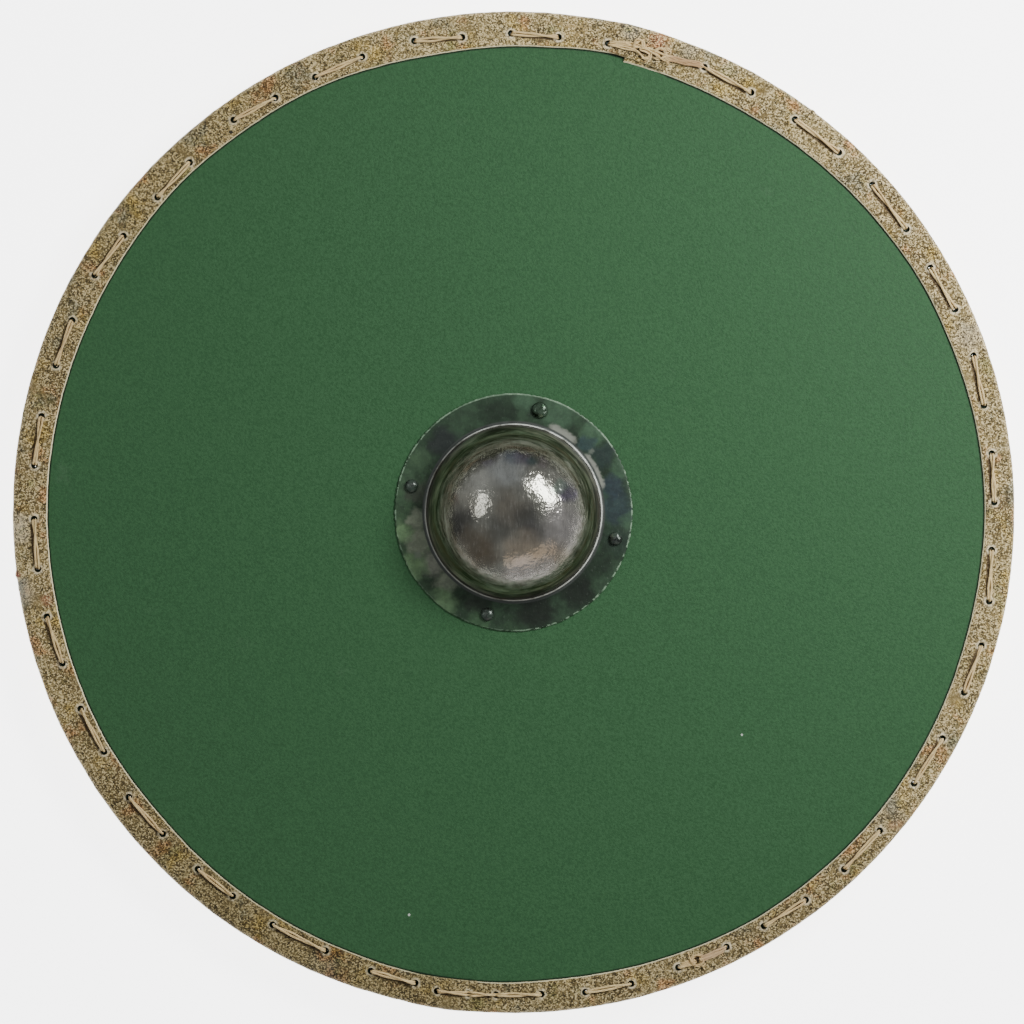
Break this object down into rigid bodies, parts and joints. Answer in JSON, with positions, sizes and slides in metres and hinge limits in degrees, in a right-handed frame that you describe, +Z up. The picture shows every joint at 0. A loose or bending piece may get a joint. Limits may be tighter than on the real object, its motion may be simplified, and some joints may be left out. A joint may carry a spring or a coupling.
{
  "type": "round shield",
  "caption": "Flat round wooden shield, painted green, with a stitched rawhide rim, a domed steel boss over the hand hole and a wooden grip across the back.",
  "frame": {"origin": "centre of the grip's flat underside, on the axis of the board and boss, in the plane that the shield lies on", "axes": "+Z up through the boss, out of the painted face; +Y towards the top of the face as it is carried; +X to the right as the painted face is seen"},
  "size_m": [0.8, 0.8011, 0.0952],
  "materials": {
    "green_board": "satin green paint on the face, oiled wood on the back and in the hand hole",
    "rawhide": "dull mottled rawhide, darker at the outer edge",
    "cord": "twisted two-ply hemp, dull",
    "boss_steel": "brushed and blackened steel, with green paint smeared over the flange",
    "rivet_iron": "dark iron with traces of green paint",
    "grip_wood": "oiled hardwood, worn smooth at the handle"
  },
  "bodies": {
    "root": {"board": "green_board", "rim_hide_left": "rawhide", "rim_hide_right": "rawhide", "cord_right": "cord", "cord_left": "cord", "boss": "boss_steel", "boss_rivet_top": "rivet_iron", "boss_rivet_left": "rivet_iron", "boss_rivet_bottom": "rivet_iron", "boss_rivet_right": "rivet_iron", "rove_top": "rivet_iron", "rove_left": "rivet_iron", "rove_bottom": "rivet_iron", "rove_right": "rivet_iron", "grip": "grip_wood"}
  },
  "joints": []
}
